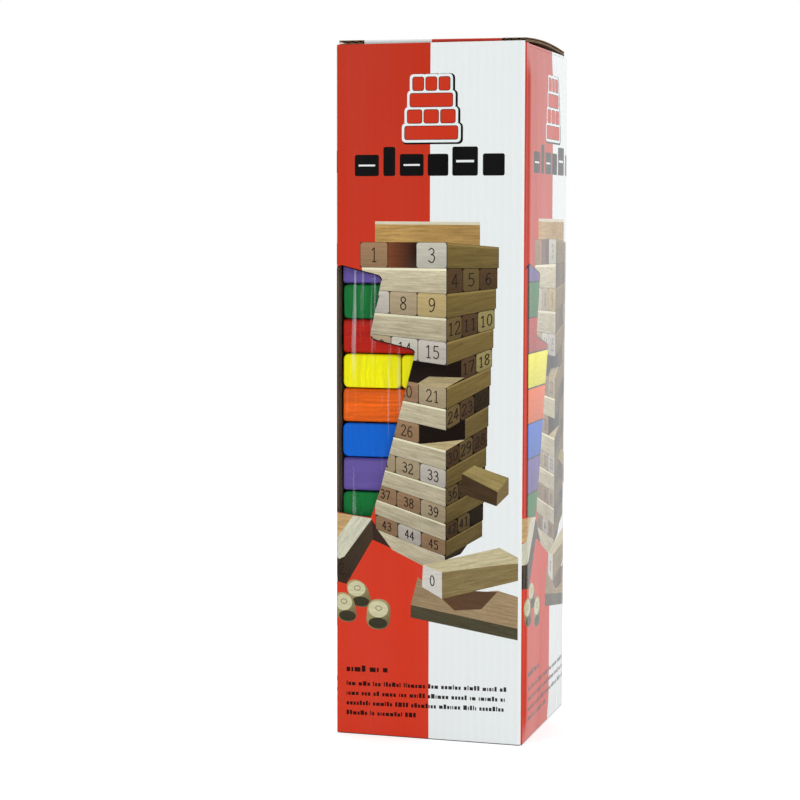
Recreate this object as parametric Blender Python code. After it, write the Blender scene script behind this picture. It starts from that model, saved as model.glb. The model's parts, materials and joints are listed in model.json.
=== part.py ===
"""Boxed tumbling-tower set: a tuck-top carton of thin corrugated board, with a die-cut window in its front
panel, holding 54 painted wooden blocks in 18 layers of three and one colour die.

Metres, +Z up. The origin is at the centre of the carton's base; the front panel faces -Y.
The lid turns on the top edge of the back wall, the tuck flap on the lid's front fold, and the two
dust flaps on the top edges of the side walls. Blocks and die lift together in the headroom.
"""

import math

import bmesh
import bpy
from mathutils import Vector

# Driving dimensions.
BOARD = 0.0015  # thickness of the corrugated board
GAP = 0.0003  # clearance between neighbouring pieces
CARTON_SIDE = 0.079  # the carton is square in plan
FRONT_TOP = 0.283  # cut top edge of the front panel
CORNER_RADIUS = 0.0015  # creased vertical edges of the carton

BLOCK_LENGTH = 0.0747
BLOCK_WIDTH = 0.0247
BLOCK_THICKNESS = 0.0139
BLOCK_EDGE = 0.0011  # chamfer that stands for the sanded edges
LAYER_PITCH = BLOCK_THICKNESS + GAP
BLOCK_PITCH = BLOCK_WIDTH + GAP
LAYERS = 18
BLOCKS_PER_LAYER = 3

DIE_SIDE = 0.016
DIE_ROUNDING = 0.002

LID_HALF_WIDTH = 0.0392
LID_BACK_TOP = 0.2836  # outer surface of the lid at its hinge
LID_FRONT_TOP = 0.2843  # outer surface of the lid at its front fold
LID_BOW = 0.0015  # how far the lid's middle stands above a straight line
LID_STEPS = 8
TUCK_LENGTH = 0.016
TUCK_HALF_WIDTH = 0.0363
TUCK_TILT = math.radians(8)  # the flap leans into the carton so that it swings clear of the front panel
TUCK_CORNER = 0.009
FOLD_HALF_WIDTH = 0.0285  # beyond this the fold is slit, which makes the slit-lock ends
SLIT_DEPTH = 0.0013

DUST_TOP = 0.2825  # outer surface of the closed dust flaps
DUST_LENGTH = 0.030
DUST_FRONT = -0.0345
DUST_BACK = 0.0302
DUST_TAPER_BACK = 0.0085  # the back edge runs forward by this much, so that the flap stays under the lid
DUST_TAPER_FRONT = 0.004
SEAT_STEP = 0.0018  # the front corners stand up this far behind the front panel

# Front panel window: X and Z of its corners, anticlockwise from the lower left, and the radius of each.
WINDOW_LEFT = -(CARTON_SIDE / 2 - BOARD)
WINDOW = (
    (WINDOW_LEFT, 0.0925, 0),
    (-0.0324, 0.0914, 0),
    (-0.0243, 0.0907, 0.0012),
    (-0.0202, 0.1032, 0.008),
    (-0.0054, 0.1596, 0.0022),
    (-0.0251, 0.1640, 0.0026),
    (-0.0197, 0.1893, 0.0022),
    (-0.0370, 0.1936, 0.001),
    (WINDOW_LEFT, 0.1925, 0),
)
ARC_STEPS = 3

# Worked out from the driving dimensions.
HALF = CARTON_SIDE / 2
INNER = HALF - BOARD
FOLD_RADIUS = BOARD / 2
LID_AXIS = Vector((0, HALF - FOLD_RADIUS, LID_BACK_TOP - FOLD_RADIUS))
TUCK_AXIS = Vector((0, -INNER + GAP + FOLD_RADIUS, LID_FRONT_TOP - FOLD_RADIUS))
DUST_AXIS_X = HALF - FOLD_RADIUS
DUST_AXIS_Z = DUST_TOP - FOLD_RADIUS
SIDE_TOP = DUST_AXIS_Z - FOLD_RADIUS - GAP
BACK_TOP = LID_AXIS.z - FOLD_RADIUS - GAP
STACK_BASE = BOARD + GAP
STACK_TOP = STACK_BASE + LAYERS * LAYER_PITCH - GAP
BEYOND = 0.01  # how far a cutter runs past what it cuts

# Layers take these colours from the bottom up, again and again.
LAYER_COLOURS = (
    ("green", (0.02, 0.22, 0.07)),
    ("purple", (0.10, 0.065, 0.26)),
    ("blue", (0.004, 0.13, 0.56)),
    ("orange", (0.75, 0.13, 0.015)),
    ("yellow", (0.84, 0.78, 0.005)),
    ("red", (0.38, 0.015, 0.01)),
)
PRINT_RED = (0.52, 0.035, 0.015)
PRINT_WHITE = (0.75, 0.8, 0.8)
KRAFT = (0.33, 0.24, 0.15)


def clear_scene():
    for thing in list(bpy.data.objects):
        bpy.data.objects.remove(thing, do_unlink=True)


def material(name, colour, roughness):
    made = bpy.data.materials.new(name)
    made.use_nodes = True
    shader = made.node_tree.nodes["Principled BSDF"]
    shader.inputs["Base Color"].default_value = (*colour, 1)
    shader.inputs["Roughness"].default_value = roughness
    shader.inputs["Metallic"].default_value = 0
    made.diffuse_color = (*colour, 1)
    return made


def new_object(name, mesh, look=None, place=(0, 0, 0), turn=(0, 0, 0)):
    made = bpy.data.objects.new(name, mesh)
    bpy.context.collection.objects.link(made)
    made.location = place
    made.rotation_euler = turn
    if look:
        mesh.materials.append(look)
    return made


def to_mesh(name, bm):
    bmesh.ops.recalc_face_normals(bm, faces=bm.faces)
    mesh = bpy.data.meshes.new(name)
    bm.to_mesh(mesh)
    bm.free()
    return mesh


def box(low, high):
    """A bmesh box between two corners."""
    bm = bmesh.new()
    bmesh.ops.create_cube(bm, size=1)
    for vert in bm.verts:
        vert.co = Vector(b if c > 0 else a for c, a, b in zip(vert.co, low, high))
    return bm


def prism(points, offset):
    """A bmesh solid: the flat outline of 3D points, pushed along offset."""
    bm = bmesh.new()
    face = bm.faces.new([bm.verts.new(p) for p in points])
    pushed = bmesh.ops.extrude_face_region(bm, geom=[face])["geom"]
    bmesh.ops.translate(bm, vec=offset, verts=[g for g in pushed if isinstance(g, bmesh.types.BMVert)])
    return bm


def rounded(corners):
    """The outline through (a, b, radius) corners, each rounded by an arc of its radius."""
    points = []
    for i, (a, b, radius) in enumerate(corners):
        corner = Vector((a, b))
        if radius == 0:
            points.append(corner)
            continue
        before = (Vector(corners[i - 1][:2]) - corner).normalized()
        after = (Vector(corners[(i + 1) % len(corners)][:2]) - corner).normalized()
        half_angle = before.angle(after) / 2
        centre = corner + (before + after).normalized() * radius / math.sin(half_angle)
        start = corner + before * radius / math.tan(half_angle) - centre
        end = corner + after * radius / math.tan(half_angle) - centre
        sweep = start.angle_signed(end)
        for step in range(ARC_STEPS + 1):
            turn = -sweep * step / ARC_STEPS
            cos, sin = math.cos(turn), math.sin(turn)
            points.append(centre + Vector((start.x * cos - start.y * sin, start.x * sin + start.y * cos)))
    return points


def cut(target, name, bm):
    """Takes the solid bm away from target."""
    cutter = new_object(name, to_mesh(name, bm))
    cutter.hide_render = True
    cutter.display_type = "WIRE"
    modifier = target.modifiers.new(name, "BOOLEAN")
    modifier.operation = "DIFFERENCE"
    modifier.solver = "EXACT"
    modifier.object = cutter


def bevel(bm, edges, width, segments):
    bmesh.ops.bevel(bm, geom=edges, offset=width, segments=segments, profile=0.5, affect="EDGES")


def make_carton_body(look):
    """Four walls and the bottom, with the window, the flaps' seats and the lid's seat cut out."""
    bm = box((-HALF, -HALF, 0), (HALF, HALF, FRONT_TOP))
    upright = [e for e in bm.edges if abs(e.verts[0].co.z - e.verts[1].co.z) > FRONT_TOP / 2]
    bevel(bm, upright, CORNER_RADIUS, 3)
    body = new_object("carton_body", to_mesh("carton_body", bm), look)
    cut(body, "cut_inside", box((-INNER, -INNER, BOARD), (INNER, INNER, FRONT_TOP + BEYOND)))
    window = [Vector((p.x, -HALF - BEYOND, p.y)) for p in rounded(WINDOW)]
    cut(body, "cut_window", prism(window, (0, BEYOND + 2 * BOARD, 0)))
    seat = (
        (-INNER, DUST_TOP),
        (-INNER + SEAT_STEP, DUST_TOP),
        (-INNER + SEAT_STEP, SIDE_TOP),
        (DUST_BACK + GAP, SIDE_TOP),
        (DUST_BACK + GAP, BACK_TOP),
        (HALF + BEYOND, BACK_TOP),
        (HALF + BEYOND, FRONT_TOP + BEYOND),
        (-INNER, FRONT_TOP + BEYOND),
    )
    outline = [Vector((-HALF - BEYOND, y, z)) for y, z in seat]
    cut(body, "cut_flap_seats", prism(outline, (CARTON_SIDE + 2 * BEYOND, 0, 0)))


def make_lid(look):
    """A slightly bowed plate with a round hinge nose; its middle is notched for the tuck flap's fold."""
    reach = LID_AXIS.y + INNER - GAP
    fold_at = LID_AXIS.y - TUCK_AXIS.y

    def middle(forward):
        share = min(forward / fold_at, 1)
        rise = (TUCK_AXIS.z - LID_AXIS.z) * share
        return -forward, rise + 4 * LID_BOW * share * (1 - share)

    line = [middle(reach * step / LID_STEPS) for step in range(LID_STEPS + 1)]
    upper = [(y, z + FOLD_RADIUS) for y, z in line]
    lower = [(y, z - FOLD_RADIUS) for y, z in reversed(line)]
    nose = []
    for step in range(1, 2 * ARC_STEPS):
        angle = -math.pi / 2 + math.pi * step / (2 * ARC_STEPS)
        nose.append((FOLD_RADIUS * math.cos(angle), FOLD_RADIUS * math.sin(angle)))
    outline = [Vector((-LID_HALF_WIDTH, y, z)) for y, z in upper + lower + nose]
    mesh = to_mesh("lid", prism(outline, (2 * LID_HALF_WIDTH, 0, 0)))
    lid = new_object("lid", mesh, look, LID_AXIS)
    notch = FOLD_HALF_WIDTH + GAP
    notch_back = TUCK_AXIS.y + FOLD_RADIUS + GAP
    low = (-notch, -HALF - BEYOND, LID_FRONT_TOP - BEYOND)
    cut(lid, "cut_fold", box(low, (notch, notch_back, LID_FRONT_TOP + BEYOND)))


def flap_plate(name, outline, nose_length):
    """A plate in its local X-Y plane, hinged on X. The edges nearest the hinge get a round nose."""
    bm = prism([Vector((x, y, -FOLD_RADIUS)) for x, y in outline], (0, 0, BOARD))
    nose = []
    for edge in bm.edges:
        start, end = (v.co for v in edge.verts)
        on_nose = max(abs(start.y - FOLD_RADIUS), abs(end.y - FOLD_RADIUS)) < GAP
        if on_nose and abs((end - start).length - nose_length) < GAP:
            nose.append(edge)
    bevel(bm, nose, FOLD_RADIUS * 0.94, 3)
    return to_mesh(name, bm)


def make_tuck_flap(look):
    """The flap under the lid's front fold, with slit shoulders and round lower corners."""
    corners = (
        (-FOLD_HALF_WIDTH, FOLD_RADIUS, 0),
        (-FOLD_HALF_WIDTH, -SLIT_DEPTH, 0),
        (-TUCK_HALF_WIDTH, -SLIT_DEPTH, 0),
        (-TUCK_HALF_WIDTH, -TUCK_LENGTH, TUCK_CORNER),
        (TUCK_HALF_WIDTH, -TUCK_LENGTH, TUCK_CORNER),
        (TUCK_HALF_WIDTH, -SLIT_DEPTH, 0),
        (FOLD_HALF_WIDTH, -SLIT_DEPTH, 0),
        (FOLD_HALF_WIDTH, FOLD_RADIUS, 0),
    )
    mesh = flap_plate("lid_tuck_flap", rounded(corners), 2 * FOLD_HALF_WIDTH)
    # Local -Y, along the flap, points down and leans towards the back of the carton.
    new_object("lid_tuck_flap", mesh, look, TUCK_AXIS, (math.pi / 2 + TUCK_TILT, 0, 0))


def make_dust_flap(name, side, look):
    """A tapered flap folded in from a side wall: side is -1 on the left and 1 on the right."""
    tip = -DUST_LENGTH
    outline = [
        (DUST_FRONT, FOLD_RADIUS),
        (DUST_FRONT, -DUST_LENGTH / 3),
        (DUST_FRONT + DUST_TAPER_FRONT, tip),
        (DUST_BACK - DUST_TAPER_BACK, tip),
        (DUST_BACK, FOLD_RADIUS),
    ]
    # Local X runs along the crease, and local -Y runs into the carton.
    outline = [(-side * x, y) for x, y in outline]
    mesh = flap_plate(name, outline, DUST_BACK - DUST_FRONT)
    place = (side * DUST_AXIS_X, 0, DUST_AXIS_Z)
    new_object(name, mesh, look, place, (0, 0, -side * math.pi / 2))


def block_mesh():
    """One block, long in X, centred on its own middle."""
    half = Vector((BLOCK_LENGTH, BLOCK_WIDTH, BLOCK_THICKNESS)) / 2
    bm = box(-half, half)
    bevel(bm, list(bm.edges), BLOCK_EDGE, 1)
    return to_mesh("block", bm)


def make_blocks():
    """18 layers of three, each turned a quarter from the one below; the top layer's blocks run left to right."""
    shape = block_mesh()
    looks = [material("paint_" + name, colour, 0.45) for name, colour in LAYER_COLOURS]
    for layer in range(LAYERS):
        turned = layer % 2 == 0
        colour = layer % len(LAYER_COLOURS)
        for place in range(BLOCKS_PER_LAYER):
            number = layer * BLOCKS_PER_LAYER + place + 1
            across = (place - 1) * BLOCK_PITCH
            height = STACK_BASE + BLOCK_THICKNESS / 2 + layer * LAYER_PITCH
            name = f"block_{number:02d}_{LAYER_COLOURS[colour][0]}"
            centre = (across, 0, height) if turned else (0, across, height)
            turn = (0, 0, math.pi / 2 if turned else 0)
            new_object(name, shape.copy(), looks[colour], centre, turn)


def make_die(look):
    """The colour die, lying on the top layer."""
    half = Vector((DIE_SIDE, DIE_SIDE, DIE_SIDE)) / 2
    bm = box(-half, half)
    bevel(bm, list(bm.edges), DIE_ROUNDING, 2)
    height = STACK_TOP + GAP + DIE_SIDE / 2
    new_object("colour_die", to_mesh("colour_die", bm), look, (0, 0, height))


def main():
    clear_scene()
    printed = material("printed_board", PRINT_RED, 0.35)
    printed_lid = material("printed_lid", PRINT_WHITE, 0.35)
    kraft = material("kraft_board", KRAFT, 0.9)
    make_carton_body(printed)
    make_lid(printed_lid)
    make_tuck_flap(kraft)
    make_dust_flap("dust_flap_left", -1, kraft)
    make_dust_flap("dust_flap_right", 1, kraft)
    make_blocks()
    make_die(material("die_wood", (0.7, 0.5, 0.3), 0.5))


main()
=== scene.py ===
"""Looks of the boxed tumbling-tower set: printed corrugated carton, painted wooden blocks, film and die.

Lengths in this script are millimetres until a mesh is written, where MM turns them into metres.
The printed art is drawn as flat patches, later ones over earlier ones, on panels that measure
79 mm across, with x from the panel's middle and z up from the carton's base.
"""

import json
import math
import random

import bmesh
import bpy
import numpy
from mathutils import Matrix, Vector
from mathutils.geometry import delaunay_2d_cdt


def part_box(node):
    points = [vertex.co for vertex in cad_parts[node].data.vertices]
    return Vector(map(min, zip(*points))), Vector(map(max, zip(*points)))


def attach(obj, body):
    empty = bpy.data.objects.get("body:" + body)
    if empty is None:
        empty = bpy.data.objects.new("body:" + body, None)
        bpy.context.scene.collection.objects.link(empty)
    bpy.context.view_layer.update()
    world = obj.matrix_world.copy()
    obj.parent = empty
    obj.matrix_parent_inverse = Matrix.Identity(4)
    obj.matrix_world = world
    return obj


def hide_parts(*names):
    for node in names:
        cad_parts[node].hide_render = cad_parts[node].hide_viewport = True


MM = 0.001
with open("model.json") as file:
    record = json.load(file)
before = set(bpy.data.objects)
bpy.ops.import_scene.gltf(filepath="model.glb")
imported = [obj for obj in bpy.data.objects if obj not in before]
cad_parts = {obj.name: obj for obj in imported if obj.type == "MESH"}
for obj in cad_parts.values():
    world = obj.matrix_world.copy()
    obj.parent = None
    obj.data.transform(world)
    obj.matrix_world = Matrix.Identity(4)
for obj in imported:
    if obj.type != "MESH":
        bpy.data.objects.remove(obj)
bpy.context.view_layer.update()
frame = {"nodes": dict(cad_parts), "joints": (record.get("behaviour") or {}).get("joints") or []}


# ---------------- places read from the frame


def node_box(node):
    """(lowest, highest) corner of a CAD node in millimetres."""
    low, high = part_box(node)
    return Vector(low) / MM, Vector(high) / MM


def joint(name):
    """Where a joint's axis is, in millimetres."""
    found = next(j for j in frame["joints"] if j["name"] == name)
    return Vector(found["pos_m"]) / MM


CARTON_HIGH = node_box("carton_body")[1]
HALF = CARTON_HIGH.x  # half the carton's width
SIDE = 2 * HALF
FRONT_TOP = CARTON_HIGH.z
LID_AXIS = joint("lid_hinge")
TUCK_AXIS = joint("tuck_flap_hinge")
DUST_AXIS = joint("right_dust_flap_hinge")
LID_HALF = node_box("lid")[1].x
TUCK_HALF = node_box("lid_tuck_flap")[1].x
DUST_LOW, DUST_HIGH = node_box("dust_flap_right")

BOARD = 1.5  # thickness of the corrugated board
LINER = 0.28  # each of its two liners
MEDIUM = 0.16  # the fluted paper between the liners
FLUTE_PITCH = 3.3
FLUTE_REACH = (BOARD - 2 * LINER - MEDIUM) / 2 * 0.94  # how far the medium swings to either side
CREASE = 1.56  # how far from a corner the panel starts to bend
GAP = 0.3  # clearance between pieces of board that move past each other
KNUCKLE = BOARD / 2  # radius of a fold about its axis
BOTTOM_CURL = 0.45  # radius of the walls' lower edge
BULGES = (0.12, 0.62, 0.25, 0.45)  # how far the front, right, back and left walls swell outwards
COLOUR_SPLIT = 0.4  # a panel is red left of this and white right of it
SIDE_ART = (1.1, 7.6, 1.006)  # the other panels' art: the front's, times and plus these in x, times this in z


# ---------------- colours and materials


def srgb(red, green, blue):
    """Linear colour of an 8-bit sRGB triple."""
    parts = (c / 255 for c in (red, green, blue))
    return tuple(p / 12.92 if p <= 0.04045 else ((p + 0.055) / 1.055) ** 2.4 for p in parts)


INK_RED = srgb(202, 48, 18)
INK_WHITE = srgb(231, 236, 236)
INK_BLACK = srgb(14, 13, 14)
KRAFT = srgb(150, 122, 92)
BLOCK_COLOURS = {
    "green": srgb(14, 116, 52),
    "purple": srgb(99, 82, 155),
    "blue": srgb(0, 96, 204),
    "orange": srgb(232, 98, 12),
    "yellow": srgb(238, 233, 0),
    "red": srgb(182, 28, 10),
}
COLOUR_ORDER = list(BLOCK_COLOURS)  # from the bottom layer up, and again
LAYERS = 18


class Nodes:
    """Short names for building the node tree of a new material or world."""

    def __init__(self, name, kind="materials", shader="Principled BSDF"):
        self.owner = getattr(bpy.data, kind).new(name)
        self.owner.use_nodes = True
        self.tree = self.owner.node_tree
        self.shader = self.tree.nodes[shader]

    def add(self, kind, inputs=None, **settings):
        node = self.tree.nodes.new(kind)
        for key, value in settings.items():
            setattr(node, key, value)
        for key, value in (inputs or {}).items():
            self.feed(node.inputs[key], value)
        return node

    def feed(self, socket, value):
        """Value is a socket, a node whose first output counts, or what the socket is set to."""
        if isinstance(value, bpy.types.NodeSocket):
            self.tree.links.new(value, socket)
        elif isinstance(value, bpy.types.Node):
            self.tree.links.new(value.outputs[0], socket)
        else:
            socket.default_value = value

    def set(self, **values):
        for key, value in values.items():
            self.feed(self.shader.inputs[key.replace("_", " ")], value)

    def uv(self, name):
        return self.add("ShaderNodeUVMap", uv_map=name)

    def place(self):
        """The point on the object, in metres."""
        return self.add("ShaderNodeTexCoord").outputs["Object"]

    def noise(self, vector, scale, detail=2.0, roughness=0.5):
        """A scale of three numbers stretches the coordinates along each axis first."""
        if isinstance(scale, tuple):
            vector, scale = self.add("ShaderNodeMapping", {"Vector": vector, "Scale": scale}), 1.0
        inputs = {"Vector": vector, "Scale": scale, "Detail": detail, "Roughness": roughness}
        return self.add("ShaderNodeTexNoise", inputs)

    def remap(self, value, low, high, to_low, to_high):
        inputs = {"Value": value, "From Min": low, "From Max": high, "To Min": to_low, "To Max": to_high}
        return self.add("ShaderNodeMapRange", inputs)

    def maths(self, operation, first, second):
        return self.add("ShaderNodeMath", {0: first, 1: second}, operation=operation)

    def total(self, first, share, second, other_share):
        """first times share plus second times other_share."""
        parts = (self.maths("MULTIPLY", *part) for part in ((first, share), (second, other_share)))
        return self.maths("ADD", *parts)

    def mix(self, factor, first, second, blend="MIX"):
        inputs = {0: factor, 6: first, 7: second}
        return self.add("ShaderNodeMix", inputs, data_type="RGBA", blend_type=blend).outputs[2]

    def shaded(self, colour, shade):
        """A colour, of three numbers or a socket, times a shade."""
        return self.mix(1.0, (*colour, 1) if isinstance(colour, tuple) else colour, shade, "MULTIPLY")

    def bump(self, height, strength, distance):
        made = self.add("ShaderNodeBump", {"Height": height, "Strength": strength, "Distance": distance})
        self.set(Normal=made)


def print_material():
    """Gloss-laminated print. "ink" holds the colour, and in its alpha how strongly wood grain shows."""
    n = Nodes("printed_liner")
    ink = n.add("ShaderNodeAttribute", attribute_name="ink")
    grain_uv, board_uv = n.uv("grain"), n.uv("board")
    streaks = n.noise(grain_uv, (90, 1100, 1), 4.0, 0.6)
    fibres = n.noise(grain_uv, (500, 3600, 1), 2.0, 0.6)
    shade = n.remap(n.total(streaks, 0.7, fibres, 0.3), 0.32, 0.68, 0.62, 1.22)
    tint = n.mix(streaks, (1, 0.93, 0.8, 1), (1, 1, 1, 1))
    grained = n.shaded(n.shaded(ink.outputs["Color"], shade), tint)
    dots = n.noise(board_uv, (2600, 2600, 1), 1.0)
    waves_per_metre = 1000 / FLUTE_PITCH
    wave_inputs = {"Vector": board_uv, "Scale": waves_per_metre * math.tau / 20}
    flutes = n.add("ShaderNodeTexWave", wave_inputs, bands_direction="X")
    # Painted shade: the print darkens in faint stripes along the flutes; the dots add random tone.
    flute_shade_and_dots = n.maths("MULTIPLY", n.remap(flutes, 0, 1, 0.982, 1.0), n.remap(dots, 0.3, 0.7, 0.975, 1.02))
    plain = n.shaded(ink.outputs["Color"], flute_shade_and_dots)
    wobble = n.noise(board_uv, (60, 6, 1))
    n.bump(n.total(flutes, 0.10, wobble, 0.8), 0.2, 0.0002)
    n.set(Base_Color=n.mix(ink.outputs["Alpha"], plain, grained))
    n.set(Roughness=n.remap(wobble, 0.3, 0.7, 0.2, 0.3), Coat_Weight=0.35, Coat_Roughness=0.1, IOR=1.5)
    return n.owner


def kraft_material(name, tone):
    """Unbleached paper: brown, matt, with short fibres. tone is how light it is."""
    n = Nodes(name)
    place = n.place()
    clouds = n.noise(place, 90, 3.0)
    fibres = n.noise(place, (1500, 1500, 260), 3.0, 0.7)
    shade = n.remap(n.total(clouds, 0.5, fibres, 0.5), 0.35, 0.65, 0.78, 1.16)
    n.set(Base_Color=n.shaded(tuple(c * tone for c in KRAFT), shade), Roughness=0.88)
    n.bump(fibres, 0.35, 0.00012)
    return n.owner


def paint_material(name, colour):
    """Thin satin paint that lets the wood's grain show, darker in the pores and worn at random."""
    n = Nodes("paint_" + name)
    uv = n.uv("grain")
    warp = n.noise(uv, (40, 160, 1))
    shift = n.mix(1.0, (0, 0, 0, 1), n.remap(warp, 0, 1, 0, 0.004), "ADD")
    bent = n.add("ShaderNodeVectorMath", {0: uv, 1: shift}, operation="ADD")
    rings = n.noise(bent, (26, 620, 1), 4.0, 0.62)
    pores = n.noise(uv, (260, 4200, 1), 2.0, 0.7)
    grain = n.total(rings, 0.72, pores, 0.28)
    shade = n.remap(grain, 0.36, 0.64, 0.70, 1.12)
    worn = n.remap(n.noise(uv, (1.5, 1.5, 1), 1.0), 0.4, 0.6, 0.35, 1.3)
    contrast = n.maths("ADD", 1.0, n.maths("MULTIPLY", worn, n.maths("SUBTRACT", shade, 1.0)))
    n.set(Base_Color=n.shaded(colour, contrast), Roughness=n.remap(grain, 0.36, 0.64, 0.5, 0.34),
          Specular_IOR_Level=0.15)
    n.bump(grain, 0.3, 0.00018)
    return n.owner


def bare_wood_material():
    """Pale sanded wood with fine streaks across the die."""
    n = Nodes("die_wood")
    rings = n.noise(n.place(), (900, 90, 900), 4.0, 0.6)
    n.set(Base_Color=n.shaded(srgb(214, 180, 136), n.remap(rings, 0.36, 0.64, 0.8, 1.1)), Roughness=0.5)
    n.bump(rings, 0.25, 0.00015)
    return n.owner


def film_material():
    """Clear shrink film, mostly see-through, with a tight gloss; its fine tension lines are bumps and painted
    whitish glints.
    """
    n = Nodes("shrink_film")
    place = n.place()
    lines = n.noise(place, (420, 420, 14), 3.0, 0.55)
    waves = n.noise(place, (60, 60, 20))
    n.bump(n.total(lines, 0.6, waves, 0.9), 0.5, 0.0006)
    # Where the lines are, the film turns whitish through its alpha: painted glints.
    n.set(Base_Color=(0.9, 0.95, 1, 1), Roughness=0.12, IOR=1.5, Specular_IOR_Level=0.7,
          Alpha=n.remap(lines, 0.58, 0.72, 0.0, 0.26))
    return n.owner


def floor_material():
    """Matt white with a little light of its own, so that it stays as pale as the surroundings."""
    n = Nodes("studio_floor")
    shade = n.remap(n.noise(n.place(), 3.0), 0.3, 0.7, 0.985, 1.0)
    n.set(Base_Color=n.shaded((0.85, 0.85, 0.85), shade), Roughness=0.8,
          Emission_Color=(1, 1, 1, 1), Emission_Strength=0.48, Specular_IOR_Level=0.0)
    return n.owner


# ---------------- objects

ALL_SMOOTH = 180


def linked(name, data):
    """A new object of the scene."""
    made = bpy.data.objects.new(name, data)
    bpy.context.collection.objects.link(made)
    return made


def add_object(name, bm, materials, sharp=None):
    """A new object from the bmesh: flat, or smooth where its faces meet at less than sharp degrees."""
    mesh = bpy.data.meshes.new(name)
    bm.to_mesh(mesh)
    bm.free()
    for material in materials:
        mesh.materials.append(material)
    if sharp:
        mesh.shade_smooth()
    if sharp and sharp < ALL_SMOOTH:
        mesh.set_sharp_from_angle(angle=math.radians(sharp))
    return linked(name, mesh)


def settle(piece, body, node=None):
    """The piece rides on the body and stands for the CAD node, which is hidden."""
    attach(piece, body)
    if node:
        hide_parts(node)


# ---------------- flat geometry


def clipped(points, axis, limit, keep):
    """The outline cut by a line: what lies above (keep 1) or below (keep -1) the limit on that axis stays."""
    out = []
    for i, here in enumerate(points):
        last = points[i - 1]
        stays, stayed = keep * (here[axis] - limit) >= 0, keep * (last[axis] - limit) >= 0
        if stays != stayed:
            share = (limit - last[axis]) / (here[axis] - last[axis])
            out.append(tuple(a + (b - a) * share for a, b in zip(last, here)))
        if stays:
            out.append(tuple(here))
    return out


def clipped_to(points, low, high):
    """The part of the outline between the corners low and high."""
    for axis in (0, 1):
        points = clipped(clipped(points, axis, low[axis], 1), axis, high[axis], -1)
    return points


def rounded(corners, steps=5):
    """The outline through (a, b, radius) corners, each rounded by an arc of its radius."""
    points = []
    for i, (a, b, radius) in enumerate(corners):
        corner = Vector((a, b))
        if radius == 0:
            points.append((a, b))
            continue
        before = (Vector(corners[i - 1][:2]) - corner).normalized()
        after = (Vector(corners[(i + 1) % len(corners)][:2]) - corner).normalized()
        half_angle = before.angle(after) / 2
        centre = corner + (before + after).normalized() * radius / math.sin(half_angle)
        start = corner + before * radius / math.tan(half_angle) - centre
        end = corner + after * radius / math.tan(half_angle) - centre
        sweep = start.angle_signed(end)
        for step in range(steps + 1):
            turn = -sweep * step / steps
            cos, sin = math.cos(turn), math.sin(turn)
            points.append((centre.x + start.x * cos - start.y * sin,
                           centre.y + start.x * sin + start.y * cos))
    return points


def rectangle(x0, z0, x1, z1, radius=0):
    return rounded([(x, z, radius) for x, z in ((x0, z0), (x1, z0), (x1, z1), (x0, z1))], 3)


def inside(centres, polygon):
    """Which of the centres, an array of rows (a, b), lie in the polygon."""
    a, b = centres[:, 0], centres[:, 1]
    hit = numpy.zeros(len(centres), dtype=bool)
    corners = numpy.array(polygon)
    low, high = corners.min(axis=0), corners.max(axis=0)
    near = numpy.nonzero((a > low[0]) & (a < high[0]) & (b > low[1]) & (b < high[1]))[0]
    for (a0, b0), (a1, b1) in zip(corners, numpy.roll(corners, -1, axis=0)):
        if b0 != b1:
            spans = (b0 > b[near]) != (b1 > b[near])
            hit[near] ^= spans & (a[near] < a0 + (a1 - a0) * (b[near] - b0) / (b1 - b0))
    return hit


def oval(x, z, across, up, sides=20):
    turns = (math.tau * i / sides for i in range(sides))
    return [(x + across * math.cos(t), z + up * math.sin(t)) for t in turns]


# The window: x and z of its corners, and the radius of each. Its left side follows the crease.
WINDOW_LEFT = -HALF - 1.3
WINDOW = rounded((
    (WINDOW_LEFT, 92.7, 0), (-32.4, 91.4, 0), (-24.3, 90.7, 1.2), (-20.2, 103.2, 8), (-5.4, 159.6, 2.2),
    (-25.1, 164.0, 2.6), (-19.7, 189.3, 2.2), (-37.0, 193.6, 1), (WINDOW_LEFT, 192.0, 0),
))
PRINTED_WINDOW_LEFT = -38.6  # where the window begins on the panels that only show it in print


# ---------------- the printed picture


class Patch:
    """One inked outline. wood is how strongly grain shows, along its direction; fade darkens it along a line.
    shift is how far its panel's middle is along the carton's unfolded strip."""

    def __init__(self, points, ink, wood=0.0, along=(1, 0), fade=None, origin=(0, 0), shift=0):
        self.points = [(x + shift, z) for x, z in points]
        self.ink, self.wood, self.along, self.fade, self.origin = ink, wood, along, fade, origin
        self.shift = shift

    def moved(self, stretch, offset, rise, shift):
        """The same patch on the panel at shift, stretched and offset in x and stretched upwards.
        What starts at the panel's left edge still starts there."""
        def put(p):
            x = p[0] if abs(p[0] + HALF) < 0.01 else p[0] * stretch + offset
            return (x, p[1] * rise)
        fade = self.fade and (put(self.fade[0]), put(self.fade[1]), *self.fade[2:])
        points = clipped_to([put(p) for p in self.points], (-HALF, 0), (HALF, 400))
        return Patch(points, self.ink, self.wood, self.along, fade, self.origin, shift)

    def colour_at(self, x, z):
        if not self.fade:
            return (*self.ink, self.wood)
        (x0, z0), (x1, z1), dark, light = self.fade
        dx, dz = x1 - x0, z1 - z0
        share = min(max(((x - x0) * dx + (z - z0) * dz) / (dx * dx + dz * dz), 0), 1)
        factor = dark + (light - dark) * share
        return (*(c * factor for c in self.ink), self.wood)


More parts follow.
